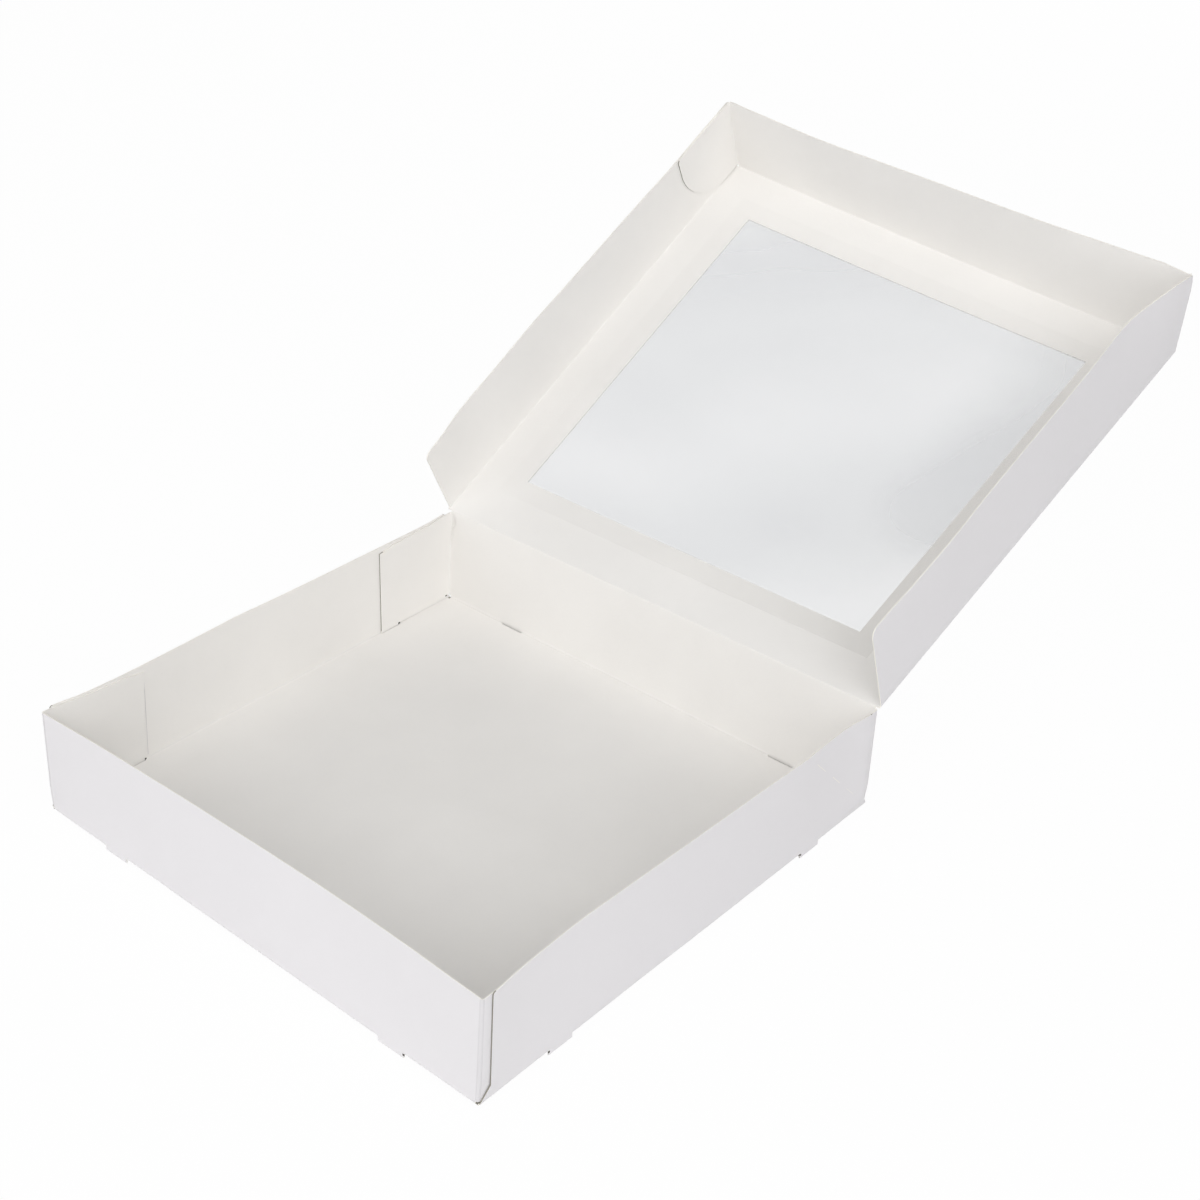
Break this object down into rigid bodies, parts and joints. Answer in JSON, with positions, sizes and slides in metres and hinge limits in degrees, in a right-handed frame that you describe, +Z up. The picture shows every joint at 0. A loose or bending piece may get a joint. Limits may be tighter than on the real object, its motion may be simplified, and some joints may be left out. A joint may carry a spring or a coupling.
{
  "type": "cake box with window",
  "caption": "Square shallow paperboard cake box with a hinged lid, which holds a clear window and swings up from the tray's back wall.",
  "frame": {"origin": "on the table, under the middle of the tray", "axes": "+X along the hinge to the right of someone at the front, +Y from the front wall to the hinge, +Z up"},
  "size_m": [0.2526, 0.4824, 0.2017],
  "materials": {
    "board": "smooth uncoated white inside, faintly satin outside",
    "film": "clear glossy film"
  },
  "bodies": {
    "tray": {"tray": "board"},
    "lid": {"lid": "board", "window_film": "film"}
  },
  "joints": [
    {"name": "lid_hinge", "type": "hinge", "parent": "tray", "child": "lid", "pos_m": [0, 0.12475, 0.05235], "axis": [1, 0, 0], "range_deg": [-32.5, 155.8]}
  ]
}
